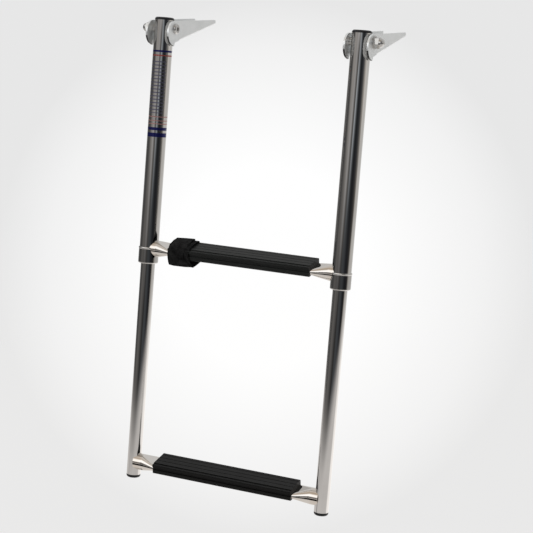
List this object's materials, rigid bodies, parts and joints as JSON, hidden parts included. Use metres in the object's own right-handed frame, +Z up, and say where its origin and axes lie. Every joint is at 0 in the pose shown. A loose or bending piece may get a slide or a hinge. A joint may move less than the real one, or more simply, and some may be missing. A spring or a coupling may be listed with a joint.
{
  "type": "telescopic boat ladder",
  "caption": "Over-platform boarding ladder: polished tube stiles that telescope, flat non-slip treads, and folded deck brackets on which it swings up and over.",
  "frame": {"origin": "underside of the left deck bracket, on the stile's centre line, halfway along the bracket's base", "axes": "+Z up out of the deck, +Y inboard over the deck away from the water, +X from the left stile to the right one as seen from the water"},
  "size_m": [0.3412, 0.2879, 0.6088],
  "materials": {
    "tube_steel": "mirror-polished stainless tube",
    "collar_steel": "polished turned stainless",
    "rung_steel": "polished, dulled by the weld at its ends",
    "bracket_steel": "polished folded sheet",
    "bolt_steel": "bright turned fastener",
    "cap_plastic": "black moulded, lightly satin",
    "slide_plastic": "black nylon, smooth",
    "tread_plastic": "black extruded, faintly grooved, greyed on its edges",
    "strap_webbing": "black woven webbing"
  },
  "bodies": {
    "brackets": {"left_bracket": "bracket_steel", "left_pivot_bolt": "bolt_steel", "left_nut_washer": "bolt_steel", "left_acorn_nut": "bolt_steel", "right_bracket": "bracket_steel", "right_pivot_bolt": "bolt_steel", "right_nut_washer": "bolt_steel", "right_acorn_nut": "bolt_steel"},
    "upper_frame": {"left_upper_stile": "tube_steel", "left_top_cap": "cap_plastic", "left_pivot_sleeve": "tube_steel", "left_collar": "collar_steel", "left_guide_bush": "slide_plastic", "right_upper_stile": "tube_steel", "right_top_cap": "cap_plastic", "right_pivot_sleeve": "tube_steel", "right_collar": "collar_steel", "right_guide_bush": "slide_plastic", "upper_rung": "rung_steel", "upper_tread": "tread_plastic", "stowing_strap": "strap_webbing"},
    "lower_frame": {"left_lower_stile": "tube_steel", "left_top_glide": "slide_plastic", "left_foot_plug": "cap_plastic", "right_lower_stile": "tube_steel", "right_top_glide": "slide_plastic", "right_foot_plug": "cap_plastic", "lower_rung": "rung_steel", "lower_tread": "tread_plastic"}
  },
  "joints": [
    {"name": "ladder_swing", "type": "hinge", "parent": "brackets", "child": "upper_frame", "pos_m": [0.1397, -0.06358, 0.018], "axis": [-1, 0, 0], "range_deg": [0, 252]},
    {"name": "lower_stage_slide", "type": "slide", "parent": "upper_frame", "child": "lower_frame", "axis": [0, 0.2588, 0.9659], "range_m": [0, 0.257]}
  ]
}
